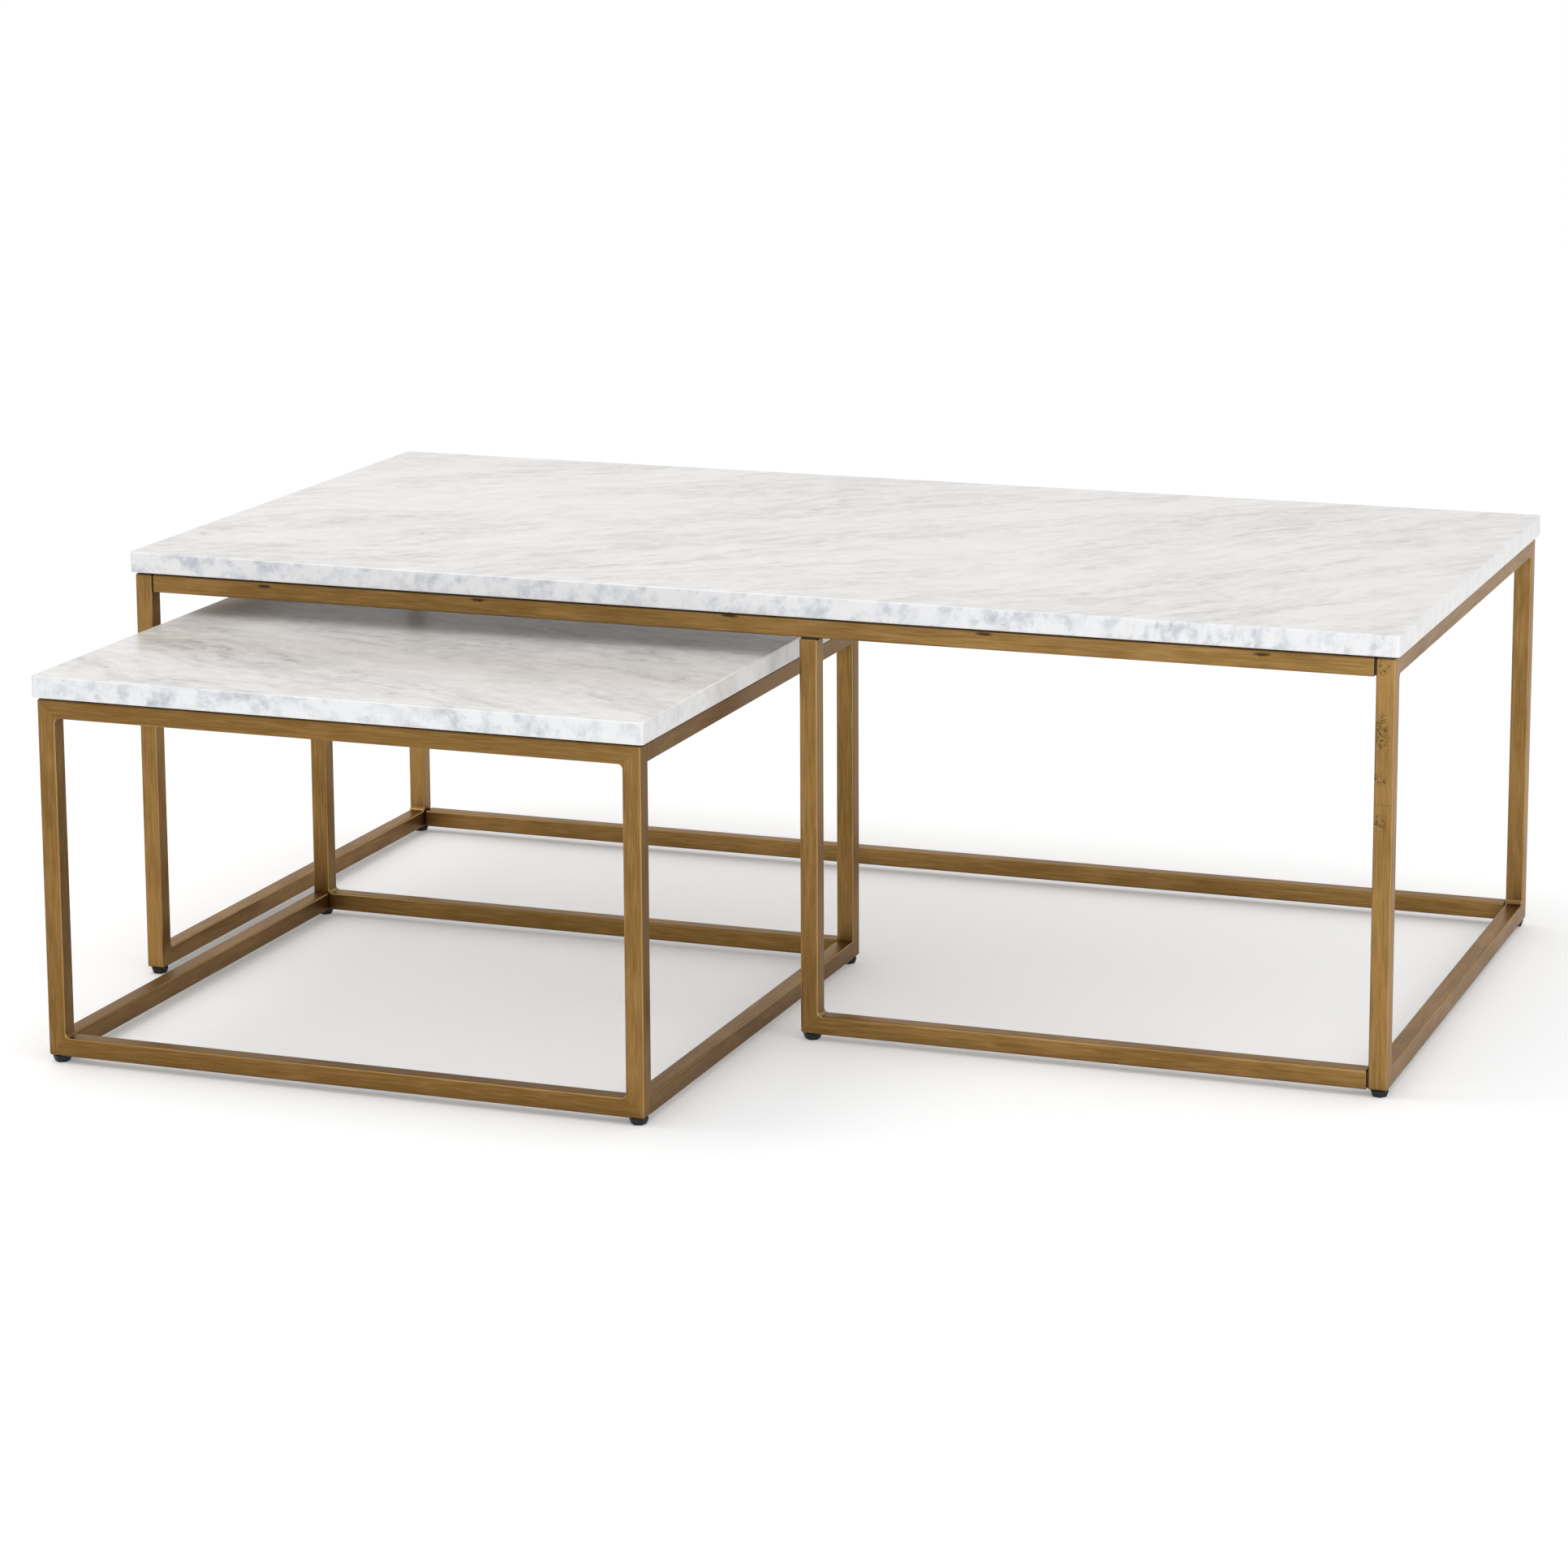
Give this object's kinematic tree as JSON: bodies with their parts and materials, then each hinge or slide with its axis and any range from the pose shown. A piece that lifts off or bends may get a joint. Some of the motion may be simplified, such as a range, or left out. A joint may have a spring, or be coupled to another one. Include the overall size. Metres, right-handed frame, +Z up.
{
  "type": "nesting tables",
  "caption": "Low rectangular table with a marble slab on a brass tube frame, with an open bay that a smaller matching table slides into.",
  "frame": {"origin": "on the floor, at the middle of the pair's footprint with the small table drawn out as stored", "axes": "+X to the right along the large table's long side, +Y from front to back, +Z up"},
  "size_m": [1.27, 0.95, 0.43],
  "materials": {
    "marble_large": "honed white marble with soft grey veins",
    "marble_small": "honed white marble, greyer, soft veins",
    "brass_tube": "antique brass, brushed along the tube",
    "steel_fittings": "zinc plated steel",
    "foot_plastic": "black moulded plastic",
    "clear_pad": "clear silicone"
  },
  "bodies": {
    "large_table": {"large_top": "marble_large", "large_leg_front_left": "brass_tube", "large_leg_front_right": "brass_tube", "large_leg_back_left": "brass_tube", "large_leg_back_right": "brass_tube", "large_leg_middle": "brass_tube", "large_rail_front": "brass_tube", "large_rail_back": "brass_tube", "large_rail_left": "brass_tube", "large_rail_right": "brass_tube", "large_stretcher_front": "brass_tube", "large_stretcher_back": "brass_tube", "large_stretcher_left": "brass_tube", "large_stretcher_right": "brass_tube", "large_cross_bar": "brass_tube", "large_top_pads": "clear_pad", "large_joint_spigots": "steel_fittings", "large_rivet_nuts": "steel_fittings"},
    "small_table": {"small_top": "marble_small", "small_leg_front_left": "brass_tube", "small_leg_front_right": "brass_tube", "small_leg_back_left": "brass_tube", "small_leg_back_right": "brass_tube", "small_rail_front": "brass_tube", "small_rail_back": "brass_tube", "small_rail_left": "brass_tube", "small_rail_right": "brass_tube", "small_stretcher_front": "brass_tube", "small_stretcher_back": "brass_tube", "small_stretcher_left": "brass_tube", "small_stretcher_right": "brass_tube", "small_top_pads": "clear_pad", "small_joint_spigots": "steel_fittings", "small_rivet_nuts": "steel_fittings"},
    "large_foot_front_left": {"large_foot_front_left_base": "foot_plastic", "large_foot_front_left_stud": "steel_fittings"},
    "large_foot_front_middle": {"large_foot_front_middle_base": "foot_plastic", "large_foot_front_middle_stud": "steel_fittings"},
    "large_foot_front_right": {"large_foot_front_right_base": "foot_plastic", "large_foot_front_right_stud": "steel_fittings"},
    "large_foot_back_left": {"large_foot_back_left_base": "foot_plastic", "large_foot_back_left_stud": "steel_fittings"},
    "large_foot_back_right": {"large_foot_back_right_base": "foot_plastic", "large_foot_back_right_stud": "steel_fittings"},
    "small_foot_front_left": {"small_foot_front_left_base": "foot_plastic", "small_foot_front_left_stud": "steel_fittings"},
    "small_foot_front_right": {"small_foot_front_right_base": "foot_plastic", "small_foot_front_right_stud": "steel_fittings"},
    "small_foot_back_left": {"small_foot_back_left_base": "foot_plastic", "small_foot_back_left_stud": "steel_fittings"},
    "small_foot_back_right": {"small_foot_back_right_base": "foot_plastic", "small_foot_back_right_stud": "steel_fittings"}
  },
  "joints": [
    {"name": "small_table_slide", "type": "slide", "parent": "large_table", "child": "small_table", "axis": [0, 1, 0], "range_m": [-0.3, 0.343]},
    {"name": "large_foot_front_left_turn", "type": "hinge", "parent": "large_table", "child": "large_foot_front_left", "pos_m": [-0.6215, -0.1615, 0.007], "axis": [0, 0, 1], "range_deg": [-2304, 0]},
    {"name": "large_foot_front_middle_turn", "type": "hinge", "parent": "large_table", "child": "large_foot_front_middle", "pos_m": [0.074, -0.1615, 0.007], "axis": [0, 0, 1], "range_deg": [-2304, 0]},
    {"name": "large_foot_front_right_turn", "type": "hinge", "parent": "large_table", "child": "large_foot_front_right", "pos_m": [0.6215, -0.1615, 0.007], "axis": [0, 0, 1], "range_deg": [-2304, 0]},
    {"name": "large_foot_back_left_turn", "type": "hinge", "parent": "large_table", "child": "large_foot_back_left", "pos_m": [-0.6215, 0.4615, 0.007], "axis": [0, 0, 1], "range_deg": [-2304, 0]},
    {"name": "large_foot_back_right_turn", "type": "hinge", "parent": "large_table", "child": "large_foot_back_right", "pos_m": [0.6215, 0.4615, 0.007], "axis": [0, 0, 1], "range_deg": [-2304, 0]},
    {"name": "small_foot_front_left_turn", "type": "hinge", "parent": "small_table", "child": "small_foot_front_left", "pos_m": [-0.5645, -0.4615, 0.007], "axis": [0, 0, 1], "range_deg": [-2304, 0]},
    {"name": "small_foot_front_right_turn", "type": "hinge", "parent": "small_table", "child": "small_foot_front_right", "pos_m": [0.0175, -0.4615, 0.007], "axis": [0, 0, 1], "range_deg": [-2304, 0]},
    {"name": "small_foot_back_left_turn", "type": "hinge", "parent": "small_table", "child": "small_foot_back_left", "pos_m": [-0.5645, 0.0995, 0.007], "axis": [0, 0, 1], "range_deg": [-2304, 0]},
    {"name": "small_foot_back_right_turn", "type": "hinge", "parent": "small_table", "child": "small_foot_back_right", "pos_m": [0.0175, 0.0995, 0.007], "axis": [0, 0, 1], "range_deg": [-2304, 0]}
  ]
}
